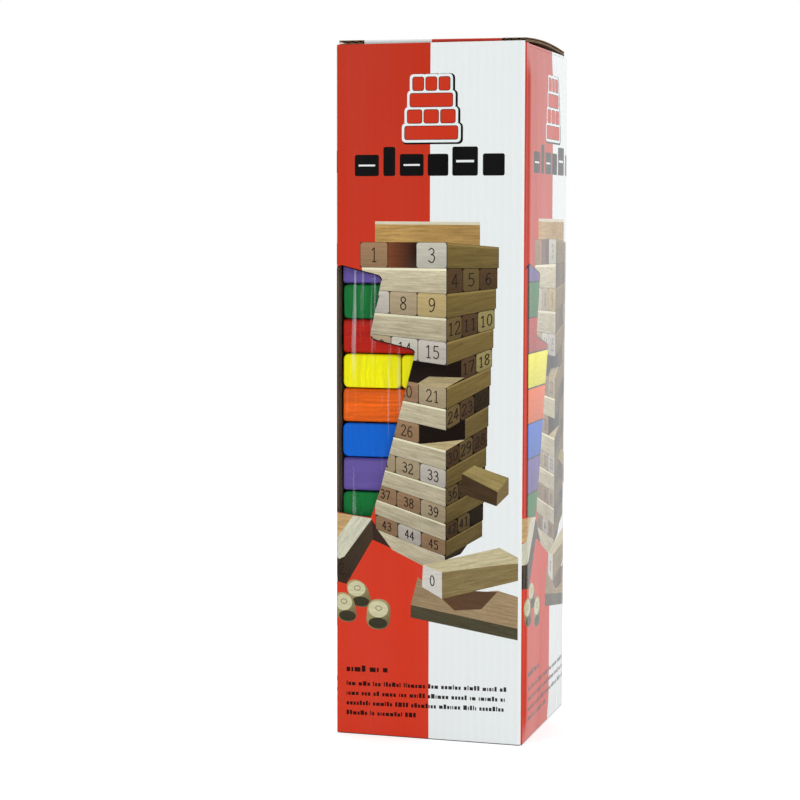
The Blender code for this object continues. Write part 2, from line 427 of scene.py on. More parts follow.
# Strokes of each digit on a grid two wide and four high. "curve" is smoothed through its points.
DIGITS = {
    "0": "curve 0.1,2 0.4,3.5 1,4 1.6,3.5 1.9,2 1.6,0.5 1,0 0.4,0.5 0.1,2",
    "1": "line 0.4,3.3 1.1,4 1.1,0; line 0.5,0 1.7,0",
    "2": "curve 0.2,3.1 0.5,3.8 1.2,4 1.8,3.4 1.6,2.3 0.9,1.2 0.1,0; line 0.1,0 1.9,0 1.9,0.5",
    "3": "curve 0.2,3.4 0.9,4 1.7,3.4 1.5,2.5 0.8,2.2; curve 0.8,2.2 1.6,2 1.9,1.1 1.5,0.2 0.8,0 0.1,0.6",
    "4": "line 1.4,0 1.4,4 0.1,1.2 2,1.2",
    "5": "line 1.8,4 0.4,4 0.3,2.3; curve 0.3,2.3 1.1,2.5 1.8,1.9 1.8,0.8 1.1,0 0.1,0.4",
    "6": "curve 1.7,3.7 1.1,4 0.4,3 0.1,1.4 0.6,0.1 1.4,0.1 1.9,1.1 1.5,2.1 0.8,2.2 0.2,1.5",
    "7": "line 0.1,3.5 0.1,4 1.9,4 0.8,0",
    "8": "curve 1,2.2 0.3,2.8 0.4,3.7 1,4 1.6,3.7 1.7,2.8 1,2.2 0.2,1.5 0.3,0.4 1,0 1.7,0.4 1.8,1.5 1,2.2",
    "9": "curve 1.8,2.5 1.2,1.8 0.5,1.9 0.1,2.9 0.6,3.9 1.4,3.9 1.9,2.6 1.6,1 0.9,0 0.3,0.3",
}


def smooth(points, steps=2):
    """A curve through the points."""
    out = []
    ends = [points[0], *points, points[-1]]
    for p0, p1, p2, p3 in zip(ends, ends[1:], ends[2:], ends[3:]):
        for step in range(steps):
            t = step / steps
            out.append(tuple(
                0.5 * (2 * b + (c - a) * t + (2 * a - 5 * b + 4 * c - d) * t * t
                       + (3 * b - a - 3 * c + d) * t ** 3)
                for a, b, c, d in zip(p0, p1, p2, p3)))
    return out + [tuple(points[-1])]


PICTURE_INK = srgb(45, 35, 28)
OVERRUN = 0.35  # how far each piece of a stroke runs past its ends, in half widths
DIGIT_STEP = 2.6  # from one digit to the next on their grid


class Picture:
    """Collects patches, and knows how to draw blocks of wood with them."""

    def __init__(self):
        self.patches = []
        self.random = random.Random(54)

    def add(self, points, ink, **more):
        origin = (self.random.uniform(0, 90), self.random.uniform(0, 90))
        self.patches.append(Patch(points, ink, origin=origin, **more))

    def stroke(self, path, width, ink):
        """A line of constant width through the path's points."""
        for (x0, z0), (x1, z1) in zip(path, path[1:]):
            length = math.hypot(x1 - x0, z1 - z0)
            if length < 0.01:
                continue
            ux, uz = (x1 - x0) / length * width / 2, (z1 - z0) / length * width / 2
            start, stop = (x0, z0, -OVERRUN), (x1, z1, OVERRUN)
            corners = ((*start, 1), (*stop, 1), (*stop, -1), (*start, -1))
            self.patches.append(Patch(
                [(x + ux * end + uz * side, z + uz * end - ux * side) for x, z, end, side in corners], ink))

    def number(self, text, quad, ink=PICTURE_INK, height=0.56):
        """Digits in the middle of a four-cornered face, slanting with it."""
        a, b, c, d = (Vector(p) for p in quad)
        across, up = ((b - a) + (c - d)) / 2, ((d - a) + (c - b)) / 2
        tall = up * height
        unit = tall / 4
        wide = across.normalized() * tall.length / 4
        columns = DIGIT_STEP * len(text) - 0.6
        wide = across.normalized() * min(wide.length, across.length * 0.8 / columns)
        corner = (a + b + c + d) / 4 - tall / 2 - wide * columns / 2
        for place, digit in enumerate(text):
            start = corner + wide * DIGIT_STEP * place
            for drawn in DIGITS[digit].split("; "):
                kind, *points = drawn.split()
                grid = [[float(number) for number in point.split(",")] for point in points]
                path = [tuple(start + wide * x + unit * z) for x, z in grid]
                self.stroke(smooth(path) if kind == "curve" else path, 0.46, ink)

    def face(self, quad, ink, light=1.0, text=None, long_side=False, rim=0.2):
        """A block's face: corners from the lower left, anticlockwise, inside a thin dark rim."""
        a, b, c, d = corners = [Vector(p) for p in quad]
        middle = (a + b + c + d) / 4
        a2, b2, c2, d2 = shrunk = [p + (middle - p).normalized() * rim for p in corners]
        outline = [tuple(p) for p in shrunk]
        along = tuple((b - a).normalized())
        self.add([tuple(p) for p in corners], tuple(k * 0.16 * light for k in ink), wood=0.3)
        fade = (tuple(a), tuple(d), 0.86 * light, 1.08 * light)
        if long_side:
            self.add(outline, ink, wood=1.0, along=along, fade=fade)
            lip = [tuple(p) for p in (d2 + (a2 - d2) * 0.1, c2 + (b2 - c2) * 0.1, c2, d2)]
            self.add(lip, tuple(min(k * 1.5, 0.86) for k in ink), wood=0.4, along=along,
                     fade=(tuple(a), tuple(b), light, light))
        else:
            self.add(rounded([(*p, 0.9) for p in outline], 2), ink, wood=0.5, along=along, fade=fade)
        if text:
            self.number(text, outline)


WOOD_LONG = srgb(204, 196, 170)
WOOD_SIDE = srgb(122, 104, 58)
WOOD_TOP = srgb(190, 174, 132)
END_INKS = {
    "brown": srgb(156, 124, 92),
    "tan": srgb(172, 156, 126),
    "straw": srgb(186, 166, 116),
    "grey": srgb(192, 186, 178),
    "white": srgb(194, 192, 180),
}
SIDE_END_INKS = {
    "dark": srgb(88, 66, 42),
    "olive": srgb(108, 90, 54),
    "light": srgb(150, 138, 88),
    "deep": srgb(56, 44, 28),
}
DARK_INSIDE = srgb(30, 19, 13)


def layer_top(i):
    """Height of layer i's top at the tower's near corner: the layers shrink downwards, as seen from above."""
    return 203.4 - 10.6 * i + 0.14 * i * i


CORNER_X = 7.5  # where the tower's near corner is


def tower_quad(side, i, start=0, end=1):
    """Part of layer i's left or right side: start and end are shares of its width from the left.
    Its edges rise away from the near corner, more so lower down, and it gets narrower downwards."""
    top, bottom = layer_top(i), layer_top(i + 1)
    if side == "left":
        x_left, x_right = -29 + 0.055 * (203 - top), CORNER_X
    else:
        x_left, x_right = CORNER_X, 29 - 0.052 * (203 - top)

    def point(x, z):
        if side == "left":
            return (x, z + min(max(0.0029 * (195 - z), 0.0), 0.34) * (CORNER_X - x))
        return (x, z + min(0.0095 * (203 - z) - 0.08, 0.6) * (x - CORNER_X))

    x0, x1 = (x_left + (x_right - x_left) * share for share in (start, end))
    return [point(x0, bottom), point(x1, bottom), point(x1, top), point(x0, top)]


THIRDS = ((0, 0.32), (0.32, 0.65), (0.65, 1))
DARKER_LAYER = 3  # its long block is of darker wood
UPPER_LAYERS = 8  # their right sides are lit more
LAYER_DIMMING = 0.022  # each layer below the seventh is darker by this
# Each layer from the top: which side shows block ends, then each end's number and tone, left to right.
TOWER = (
    "left 1:brown none 3:white",
    "right 4:dark 5:olive 6:dark",
    "left 7:grey 8:tan 9:straw",
    "right 12:olive 11:dark 10:light",
    "left 13:tan 14:white 15:grey",
    "right none 17:dark 18:light",
    "left 19:grey 20:brown 21:tan",
    "right 24:olive 23:dark 22:deep",
    "left 25:tan 26:brown none",
    "right 30:dark 29:olive 28:dark",
    "left 31:tan 32:tan 33:grey",
    "right 36:olive 35:dark 34:deep",
    "left 37:brown 38:brown 39:tan",
    "right 42:dark 41:olive 40:deep",
    "left 43:brown 44:grey 45:brown",
)


def draw_tower(picture):
    """The leaning tower of plain wooden blocks, from the bottom up."""
    for i in reversed(range(len(TOWER))):
        end_side, *ends = TOWER[i].split()
        dim = 1 - LAYER_DIMMING * max(i - 6, 0)
        right_light = dim * (0.96 if i < UPPER_LAYERS else 0.8)
        left_side = tower_quad("left", i)
        if end_side == "left":
            inks, light = END_INKS, dim
            picture.add(left_side, DARK_INSIDE, wood=0.6)
        else:
            inks, light = SIDE_END_INKS, right_light
            if "none" in ends:
                picture.add(left_side, DARK_INSIDE, wood=0.5, fade=((0, 146), (0, 156), 1.6, 0.5))
            else:
                picture.face(left_side, WOOD_LONG, dim * (0.86 if i == DARKER_LAYER else 1), long_side=True)
        for third, end in zip(THIRDS, ends):
            if end != "none":
                number, tone = end.split(":")
                picture.face(tower_quad(end_side, i, *third), inks[tone], light, number)
            elif end_side == "right":
                picture.add(tower_quad("right", i, *third), DARK_INSIDE, wood=0.4)
        if end_side == "left":
            picture.face(tower_quad("right", i), WOOD_SIDE, right_light, long_side=True)
            if "none" in ends and i > 0:  # the uppermost layer's gap is drawn on its own
                draw_corner_hole(picture, i)


def draw_corner_hole(picture, i):
    """The block at the near corner of layer i is gone, and the top of the layer below is lit there."""
    left, right = tower_quad("left", i, 2 / 3), tower_quad("right", i, 0, 0.45)
    for hole in (left, right):
        picture.add(hole, DARK_INSIDE, wood=0.4)
    picture.add([left[0], left[1], right[1]], WOOD_TOP, wood=0.8)


def draw_lifted_layer(picture):
    """Layer 6 stands out: its nearest block's top is lit under the hole above it."""
    corner = layer_top(6)
    back = [(-5, corner + 1.2), (CORNER_X, corner), (15, corner + 4.3), (0, corner + 4.4)]
    picture.add(back, WOOD_TOP, wood=0.8, fade=((0, corner), (0, corner + 4.5), 0.95, 0.7))


def draw_base(picture):
    """The lowest visible blocks, with the shadow behind their left end."""
    low = layer_top(len(TOWER))
    picture.add([(-24.5, 90.5), (-20, 84.5), (-14.5, 78), (-23.6, 81.6)], srgb(60, 44, 34), wood=0.4)
    lower = [(-15.2, 77.8), (-2.5, 72), (6.6, 71.6), (7, low), (-22, 86.5)]
    picture.add(lower, WOOD_LONG, wood=0.9, along=(0.94, -0.34), fade=((0, 72), (0, 86), 0.72, 0.98))
    side = [(7, low - 1.5), (13.8, 77.4), (22.6, 90), (7.2, low + 6)]
    picture.add(side, srgb(52, 42, 32), wood=0.8, along=(0.8, 0.6))


def draw_box(picture, top, front, end, inks, grain, text=None):
    """A loose block as three faces. Each is a list of corners; inks are those of top, front and end."""
    picture.add(top, inks[0], wood=1.0, along=grain)
    picture.add(front, inks[1], wood=1.0, along=grain)
    picture.add(end, inks[2], wood=0.4)
    if text:
        picture.number(text, end, height=0.4)


def draw_loose_blocks(picture):
    """The pulled-out block, the two blocks in front and the one cut off by the left edge."""
    draw_box(picture,
             [(14.1, 110.2), (29, 103.3), (33.6, 109.2), (19.2, 113.7)],
             [(14.1, 102.1), (28.6, 97.5), (29, 103.3), (14.1, 110.2)],
             [(28.6, 97.5), (33.6, 102.6), (33.6, 109.2), (29, 103.3)],
             (srgb(156, 140, 88), srgb(74, 56, 34), srgb(128, 110, 72)), (0.93, -0.37))
    # The flat block in front.
    for points, colour, wood, fade in (
        ([(-7.3, 55.4), (37.7, 48.1), (37.7, 61), (29.2, 63.2), (6, 60), (-4.3, 67)],
         (160, 138, 106), 0.9, ((-8, 60), (38, 52), 0.9, 1.08)),
        ([(-7.3, 50.2), (37.7, 43.3), (37.7, 48.1), (-7.3, 55.4)], (80, 76, 56), 0.9, None),
        ([(6, 58.6), (11.3, 54.1), (22.5, 55.2), (29.2, 62.6), (16, 62.5)], (98, 70, 48), 0.8, None),
    ):
        picture.add(points, srgb(*colour), wood=wood, along=(0.98, -0.16), fade=fade)
    # The block leaning on it.
    draw_box(picture,
             [(-2.1, 72.2), (5.9, 69.4), (27, 73.0), (37.7, 74.6), (37.7, 77.0), (30, 80.7)],
             [(6, 58.6), (37.7, 67.6), (37.7, 74.7), (27, 73.1), (5.9, 69.5)],
             [(-2.5, 63.1), (6, 58.6), (5.9, 69.5), (-2.1, 72.2)],
             (srgb(198, 190, 154), srgb(138, 122, 80), srgb(206, 204, 198)), (0.96, 0.22), "0")
    # The block cut off by the panel's left edge.
    edge = -HALF
    end = [(edge, 92.2), (-31.8, 91.3), (-38.5, 82.5), (edge, 82.5)]
    top = [(edge, 73.4), (-38, 73), (-35.8, 74.1), (-23.9, 90.3), (-31.8, 91.3), (-38.5, 82.5), (edge, 82)]
    front = [(edge, 63.7), (-34.9, 62.7), (-23.5, 81.9), (-23.9, 90.3), (-35.8, 74.1), (-38, 73),
             (edge, 73.4)]
    picture.add(end, srgb(200, 168, 116), wood=0.9)
    picture.add(top, srgb(206, 208, 190), wood=1.0, along=(0.6, 0.8))
    picture.add(front, srgb(70, 56, 42), wood=1.0, along=(0.55, 0.83),
                fade=((-37, 64), (-24, 86), 0.75, 1.15))
    picture.number("2", rectangle(-HALF, 65, -34.5, 73))


# Each printed die: its middle, its width, its height, how far it leans, and how far right its dark end is.
DICE = (
    (-29.6, 59.0, 9.2, 11.3, 0.3, 0.5),
    (-35.6, 53.0, 9.2, 12.2, 0.2, 0.9),
    (-21.1, 50.8, 10.1, 12.6, -0.05, -0.2),
)


def draw_dice(picture):
    """Three wooden dice with well rounded corners: a light top with a ring, and a dark lower end."""
    for x, z, wide, tall, lean, end in DICE:
        left, right, low, high = x - wide / 2, x + wide / 2, z - tall / 2, z + tall / 2
        body = rounded(((left, low, 4.1), (right, low, 4.1), (right, high, 4.4), (left, high, 4.4)), 6)
        picture.add([(a - lean * (b - z), b) for a, b in body], srgb(152, 142, 98), wood=0.5,
                    fade=((x - 3, z + 3), (x + 4, z - 5), 1.25, 0.42))
        picture.add(oval(x + (end - lean) * 0.8 + lean * 2.4, z - tall * 0.29, wide * 0.4, tall * 0.18),
                    srgb(62, 58, 42), wood=0.5)
        picture.add(oval(x - lean * 2.4 - 0.2, z + tall * 0.17, wide * 0.42, tall * 0.28),
                    srgb(206, 203, 166), wood=0.5)
        ring = oval(x - lean * 2.0, z + tall * 0.2, 1.3, 0.95, 14)
        picture.stroke(ring + ring[:1], 0.3, srgb(120, 112, 80))


def draw_emblem(picture):
    """Four rows of stacked blocks in red, with a white outline and a dark shadow, over the colour change."""
    middle, low = 0.8, 244.6
    outline = srgb(70, 20, 16)
    for grow, drop, ink in ((1.7, 0.5, INK_BLACK), (1.25, 0, INK_WHITE), (0.25, 0, outline), (0, 0, INK_RED)):
        for row in range(4):
            z, width = low + 6.5 * row, 22.0 - 2.2 * row
            blocks = 3 if row % 2 else 1
            each = (width - (blocks - 1)) / blocks
            for k in range(blocks):
                x = middle - width / 2 + (each + 1) * k
                picture.add(rectangle(x - grow + drop, z - grow - drop * 0.6, x + each + grow + drop,
                                      z + 5.2 + grow - drop * 0.6, 0.9 + grow * 0.5), ink)


def draw_title(picture):
    """A row of black blocks, standing and lying, where the box has its title. Some have a white bar."""
    floor = 230.0
    shapes = ((-31.3, 10.2, 8.6), (-19.2, 5.0, 11.7), (-12.3, 10.0, 8.8),
              (-0.6, 8.6, 8.8), (9.6, 10.6, 11.6), (22.2, 9.0, 8.8))
    for x, width, height in shapes:
        picture.add(rectangle(x, floor, x + width, floor + height, 0.8), INK_BLACK)
    for x, width, height in shapes[::2]:
        low, high = floor + height * 0.46, floor + height * 0.54
        picture.add(rectangle(x + 1.6, low, x + width - 1.6, high), INK_WHITE)


def draw_marks(picture, x, z, last, tall, slope, pick, bold=1.0):
    """A line of small print: marks of a letter's size in words, but no letters."""
    left = pick.randint(2, 8)
    while x < last - 1:
        wide = tall * pick.choice((0.25, 0.5, 0.5, 0.6, 0.8))
        high = tall * pick.choice((0.72, 0.72, 1.0))
        ink = srgb(56, 14, 8) if x < COLOUR_SPLIT else srgb(50, 48, 50)
        base = z + slope * (x + 35)
        picture.add(rectangle(x, base, x + wide * bold, base + high), ink)
        x += wide * bold + tall * 0.2
        left -= 1
        if left == 0:
            x += tall * 0.5
            left = pick.randint(2, 8)


def draw_small_print(picture):
    """A heading and four lines of small print, as marks."""
    pick = random.Random(7)
    draw_marks(picture, -34.9, 26.2, -16.5, 2.6, 0.03, pick, 1.25)
    for row, last in enumerate((33.3, 33.3, 33.3, -5.0)):
        draw_marks(picture, -34.9, 20.4 - 4.1 * row, last, 1.9, 0.022, pick)


def draw_red_half(picture):
    picture.add(rectangle(-2 * HALF, 0, COLOUR_SPLIT, 300), INK_RED, fade=((0, 60), (0, 280), 1.12, 0.9))


def draw_printed_window(picture, stack_bottom, pitch, layers):
    """The other panels show the window and its blocks as print."""
    picture.add(clipped(WINDOW, 0, PRINTED_WINDOW_LEFT, 1), srgb(24, 18, 16))
    for layer in range(layers):
        low = stack_bottom + layer * pitch
        points = clipped_to(WINDOW, (-37.6, low + 0.3), (-4, low + pitch - 0.3))
        if len(points) > 2:
            ink = BLOCK_COLOURS[COLOUR_ORDER[layer % len(COLOUR_ORDER)]]
            picture.add(points, ink, wood=0.35, fade=((0, low), (0, low + pitch), 0.82, 1.1))


def draw_window_shade(picture):
    """Painted shadow: a thin dark line along the window's two sloping upper edges, under the board's edge."""
    for low, high in ((158.6, 165.2), (187.6, 200)):
        picture.stroke([p for p in WINDOW if low < p[1] < high], 0.9, srgb(22, 12, 16))


def draw_painted_contact_shadow(picture):
    """Painted shadow: a thin dark band along the crease round the bottom, where the carton meets what it
    stands on.
    """
    picture.add(rectangle(-HALF - 9, -5, HALF + 9, 0.42), srgb(52, 42, 38))


def draw_top_blocks(picture):
    """The layer above the numbered ones: a warm face with a lit upper edge."""
    picture.add([(-22.7, 202), (21.2, 202), (21.2, 211.2), (-22.7, 211.4)], srgb(186, 150, 88), wood=1.0,
                fade=((-22, 0), (22, 0), 1.05, 0.8))
    picture.add([(-22.7, 210.6), (21.2, 210.4), (21.2, 211.6), (-22.7, 211.8)], srgb(214, 208, 184), wood=0.4)


def draw_top_hole(picture):
    """The gap in the uppermost layer, lit from its left."""
    hole = tower_quad("left", 0, 0.325, 0.645)
    picture.add(hole, srgb(120, 66, 36), wood=0.6, fade=(hole[0], hole[1], 1.1, 0.12))


def front_art():
    picture = Picture()
    for draw in (draw_red_half, draw_top_blocks, draw_base, draw_tower, draw_lifted_layer, draw_top_hole,
                 draw_loose_blocks, draw_dice, draw_window_shade, draw_emblem, draw_title, draw_small_print,
                 draw_painted_contact_shadow):
        draw(picture)
    return picture.patches


# ---------------- corrugated board


def carve(outline, holes=(), patches=(), lines=()):
    """Triangles that fill the outline, each with the number of the topmost patch over it, or -1."""
    points, edges = [], []
    for polygon in (outline, *holes, *(p.points for p in patches)):
        first, count = len(points), len(polygon)
        edges.extend((first + i, first + (i + 1) % count) for i in range(count))
        points.extend(Vector(p) for p in polygon)
    for a, b in lines:
        edges.append((len(points), len(points) + 1))
        points.extend((Vector(a), Vector(b)))
    found = delaunay_2d_cdt(points, edges, [], 0, 1e-4, False)
    flat = numpy.array([tuple(p) for p in found[0]])
    triangles = numpy.array([tuple(t) for t in found[2]])
    centres = flat[triangles].mean(axis=1)
    keep = inside(centres, outline)
    for hole in holes:
        keep &= ~inside(centres, hole)
    top = numpy.full(len(triangles), -1)
    for number, patch in enumerate(patches):
        top[inside(centres, patch.points)] = number
    kept = zip(triangles[keep].tolist(), top[keep].tolist())
    return [tuple(p) for p in flat], [(tuple(triangle), owner) for triangle, owner in kept]


class Board:
    """A mesh of closed sheets with ink, grain and board coordinates."""

    def __init__(self, window=()):
        """window is the outline of a window whose cut edge gets the fourth material, near-black as painted
        shade.
        """
        self.window = [(min(values), max(values)) for values in zip(*window)]
        self.bm = bmesh.new()
        self.ink = self.bm.loops.layers.float_color.new("ink")
        self.grain = self.bm.loops.layers.uv.new("grain")
        self.board = self.bm.loops.layers.uv.new("board")

    def sheet(self, carved, place, near, far, slot, patches=(), back_slot=1):
        """A closed sheet between the insets near and far. place turns (a, b, inset) into a 3D point."""
        flat, kept = carved
        used = sorted({v for triangle, _ in kept for v in triangle})
        front, back = ({v: self.bm.verts.new(Vector(place(*flat[v], inset)) * MM) for v in used}
                       for inset in (near, far))
        edges = {}  # those that only one triangle has so far
        for triangle, owner in kept:
            face = self.bm.faces.new([front[v] for v in triangle])
            face.material_index = slot
            for loop, v in zip(face.loops, triangle):
                self.colour(loop, *flat[v], patches[owner] if owner >= 0 else None)
            self.bm.faces.new([back[v] for v in reversed(triangle)]).material_index = back_slot
            for v, after in zip(triangle, triangle[1:] + triangle[:1]):
                if (after, v) in edges:
                    del edges[(after, v)]
                else:
                    edges[(v, after)] = None
        for v, after in edges:
            rim = self.bm.faces.new([front[after], front[v], back[v], back[after]])
            rim.material_index = 3 if self.at_window(flat[v]) else 2

    def at_window(self, point):
        return bool(self.window) and all(
            low - 0.01 <= value <= high + 0.01 for value, (low, high) in zip(point, self.window))

    def colour(self, loop, a, b, patch):
        loop[self.board].uv = (a * MM, b * MM)
        if patch is None:
            loop[self.ink] = (*INK_WHITE, 0)
            return
        x = a - patch.shift
        loop[self.ink] = patch.colour_at(x, b)
        (ux, uz), (ox, oz) = patch.along, patch.origin
        loop[self.grain].uv = ((x * ux + b * uz + ox) * MM, (b * ux - x * uz + oz) * MM)


def flute_lines(start, end, low, high, per_flute=6):
    """Vertical lines across a sheet, close enough to draw its flutes."""
    step = FLUTE_PITCH / per_flute
    places = (start + step * (i + 0.5) for i in range(int((end - start) / step)))
    return [((a, low), (a, high)) for a in places]


def level_lines(reach, heights):
    return [((-reach, b), (reach, b)) for b in heights]


def make_board(name, outline, place, patches, bends, span, materials, body, node=None, window=()):
    """A piece of board that stands for a CAD node: printed liner, fluted medium and kraft liner. It bends at
    the lines bends, and span is where across the flutes start and end."""
    board = Board(window)
    holes = [window] if window else []

    def waved(a, b, inset):
        return place(a, b, BOARD / 2 + inset + FLUTE_REACH * math.cos(math.tau * a / FLUTE_PITCH))

    board.sheet(carve(outline, holes, patches, bends), place, 0, LINER, 0, patches)
    board.sheet(carve(outline, holes, (), bends), place, BOARD - LINER, BOARD, 1)
    heights = [b for _, b in outline]
    lines = [*bends, *flute_lines(*span, min(heights) - 5, max(heights) + 5)]
    board.sheet(carve(outline, holes, (), lines), waved, -MEDIUM / 2, MEDIUM / 2, 2, back_slot=2)
    bmesh.ops.recalc_face_normals(board.bm, faces=board.bm.faces)
    settle(add_object(name, board.bm, materials, 35), body, node)


# ---------------- the carton

PANEL_ORDER = (3, 0, 1, 2)  # the strip starts at the glued back left corner: left, front, right, back
FRONT = 1  # the front panel's place along the strip


def ease(value, start, end):
    """0 at start, 1 at end, smooth between."""
    share = min(max((value - start) / (end - start), 0), 1)
    return share * share * (3 - 2 * share)


def around(strip, z, inset):
    """The point at that length along the strip, bent round the carton's creased corners.
    The walls swell a little between the corners, and their lower edge curls in."""
    place = min(max(int(strip // SIDE), 0), 3)
    panel = PANEL_ORDER[place]
    x = strip - SIDE * place - HALF
    flat = HALF - CREASE
    curl = BOTTOM_CURL - math.sqrt(BOTTOM_CURL ** 2 - max(BOTTOM_CURL - z, 0) ** 2)
    upright = ease(z, 0, 12) * ease(z, FRONT_TOP - 2, FRONT_TOP - 16)
    swell = BULGES[panel] * ease(abs(x), HALF - 0.8, HALF - 7.5) * upright
    if abs(x) <= flat:
        a, b = x, -(HALF - inset)
    else:
        turn = (abs(x) - flat) / CREASE * math.pi / 4
        a = math.copysign(flat + (CREASE - inset) * math.sin(turn), x)
        b = -(flat + (CREASE - inset) * math.cos(turn))
    b += curl - swell
    a *= 1 - curl / HALF
    cos, sin = ((1, 0), (0, 1), (-1, 0), (0, -1))[panel]
    return (cos * a - sin * b, sin * a + cos * b, z)


def wall_lines(low, high, steps=5):
    """Lines along which the strip bends: at its corners, beside them, and near its top and bottom."""
    beside = [CREASE * step / steps for step in range(steps + 1)] + [2.4, 3.3, 4.2, 5.1, 6.0, 6.9, 7.8]
    across = {SIDE * corner + side * distance
              for corner in range(5) for distance in beside for side in (-1, 1)}
    lines = [((strip, low), (strip, high)) for strip in sorted(across) if 0 < strip < 4 * SIDE]
    drops = (2.4, 4, 6, 8, 10, 12, 14, 16)
    heights = [0.1, 0.25, 0.45, 0.8, 3, 5, 7, 9, 12] + [FRONT_TOP - drop for drop in drops]
    return lines + [((-1, z), (4 * SIDE + 1, z)) for z in heights]


def carton_outline():
    """The unfolded strip: side panels are lower where their dust flaps fold."""
    seat = DUST_AXIS.z - 0.72 * KNUCKLE  # the wall's liner stops just under the flap's rounded fold
    back_top = LID_AXIS.z - KNUCKLE - GAP
    shoulder = DUST_HIGH.z
    back = 3 * SIDE
    right = 2 * SIDE
    rear = right + HALF + DUST_HIGH.y + GAP  # behind this the side walls are as high as the back
    front = right + HALF + DUST_LOW.y - 0.12  # in front of this they stand almost as high as the front
    right_side = [(back, back_top), (rear, back_top), (rear, seat), (front, seat), (front, shoulder),
                  (right + 0.1, shoulder), (right, FRONT_TOP)]
    left_side = [(3 * SIDE - strip, z) for strip, z in reversed(right_side)]
    return [(0, 0), (4 * SIDE, 0), (4 * SIDE, back_top), *right_side, *left_side]


def make_carton(materials):
    """The walls as one wrapped strip, printed on all four panels, and the two bottom flaps."""
    bottom_layer = node_box("block_01_green")
    pitch = node_box("block_04_purple")[0].z - bottom_layer[0].z
    front = front_art()
    window_print = Picture()
    draw_printed_window(window_print, bottom_layer[0].z, pitch, LAYERS)
    patches = []
    for place in range(4):
        art, change = (front, (1, 0, 1)) if place == FRONT else (front + window_print.patches, SIDE_ART)
        moved = (p.moved(*change, SIDE * place + HALF) for p in art)
        patches += [p for p in moved if len(p.points) > 2]
    window = [(x + SIDE * FRONT + HALF, z) for x, z in WINDOW]
    # The window's cut edge is painted near-black: painted shade of the dark gap behind it.
    walls = (*materials, kraft_material("window_cut_edge_painted_shade", 0.08))
    make_board("carton_board", carton_outline(), around, patches, wall_lines(-5, 400), (0, 4 * SIDE), walls,
               "carton", "carton_body", window)
    make_bottom(materials)


def make_bottom(materials):
    """Two outer bottom flaps whose tongue and slot lock together, seen from below."""
    edge = HALF - BOARD - 0.2  # just inside the walls
    tongue = [(-edge, -edge), (edge, -edge), (edge, -6), (20, -6), (14, 9), (-14, 9), (-20, -6), (-edge, -6)]
    slot = [(-edge, -5.6), (-20.3, -5.6), (-14.3, 9.4), (14.3, 9.4), (20.3, -5.6), (edge, -5.6),
            (edge, edge), (-edge, edge)]
    for name, outline in (("bottom_flap_front", tongue), ("bottom_flap_back", slot)):
        make_board(name, outline, lambda *point: point, [], (), (-edge, edge), materials, "carton")


# ---------------- lid and flaps

FOLD_LEFT, FOLD_RIGHT = -27.9, 29.3  # ends of the lid's front fold, between the slits
LID_BOW = 1.5  # how far the lid's middle is bowed up
LID_TAPER = 5.3  # how far from the hinge the lid gets wider
LID_TRIM = 0.5  # how much further in its left edge is
LID_TILT = 0.5  # how much higher the lid's front left corner stands than its right one


def tilt(x):
    return LID_TILT * (HALF - x) / SIDE


def lid_place(x, forward, inset):
    """forward runs from the hinge to the front fold; below 0 the board wraps round the hinge's knuckle."""
    reach = LID_AXIS.y - TUCK_AXIS.y
    radius = KNUCKLE - inset
    if forward < 0:
        turn = -forward / KNUCKLE
        return (x, LID_AXIS.y + radius * math.sin(turn), LID_AXIS.z + radius * math.cos(turn))
    share = min(forward / reach, 1.0)
    rise = (TUCK_AXIS.z - LID_AXIS.z) * share + 4 * LID_BOW * share * (1 - share)
    return (x, LID_AXIS.y - forward, LID_AXIS.z + rise + radius + tilt(x) * share)


def halves(reach, low, high, left, right, split=COLOUR_SPLIT):
    """Two inks that meet at the panel's colour change."""
    parts = ((-reach, split, left), (split, reach, right))
    return [Patch(rectangle(start, low, end, high), ink) for start, end, ink in parts]


def fold_bends(back, first=0):
    """Where a fold that starts at back bends."""
    return [back * i / 8 for i in range(first, 8)]


def make_lid(materials, steps=16):
    reach = LID_AXIS.y - TUCK_AXIS.y
    front = reach + KNUCKLE
    notch = reach - KNUCKLE - GAP
    back = -KNUCKLE * math.pi * 0.95
    half, left, hinge_half = LID_HALF, LID_TRIM - LID_HALF, LID_HALF - 2
    outline = [(-hinge_half, back), (hinge_half, back), (hinge_half, 0), (half, LID_TAPER), (half, front),
               (FOLD_RIGHT + GAP, front), (FOLD_RIGHT + GAP, notch), (FOLD_LEFT - GAP, notch),
               (FOLD_LEFT - GAP, front), (left, front), (left, LID_TAPER), (-hinge_half, 0)]
    bends = level_lines(half + 1, fold_bends(back, 1) + [0] + [reach * i / steps for i in range(1, steps)])
    make_board("lid_board", outline, lid_place, halves(half, back, front, INK_WHITE, INK_RED), bends,
               (-half, half), materials, "lid", "lid")


def flap_place(axis, along, inwards, outside):
    """Places a flat flap: (a, b, inset) with a along the crease, b from the axis towards the tip.
    The flap's outer liner wraps round the knuckle where b is below 0."""
    def place(a, b, inset):
        radius = KNUCKLE - inset
        if b < 0:
            turn = -b / KNUCKLE
            return axis + along * a + outside * radius * math.cos(turn) - inwards * radius * math.sin(turn)
        return axis + along * a + inwards * b + outside * radius
    return place


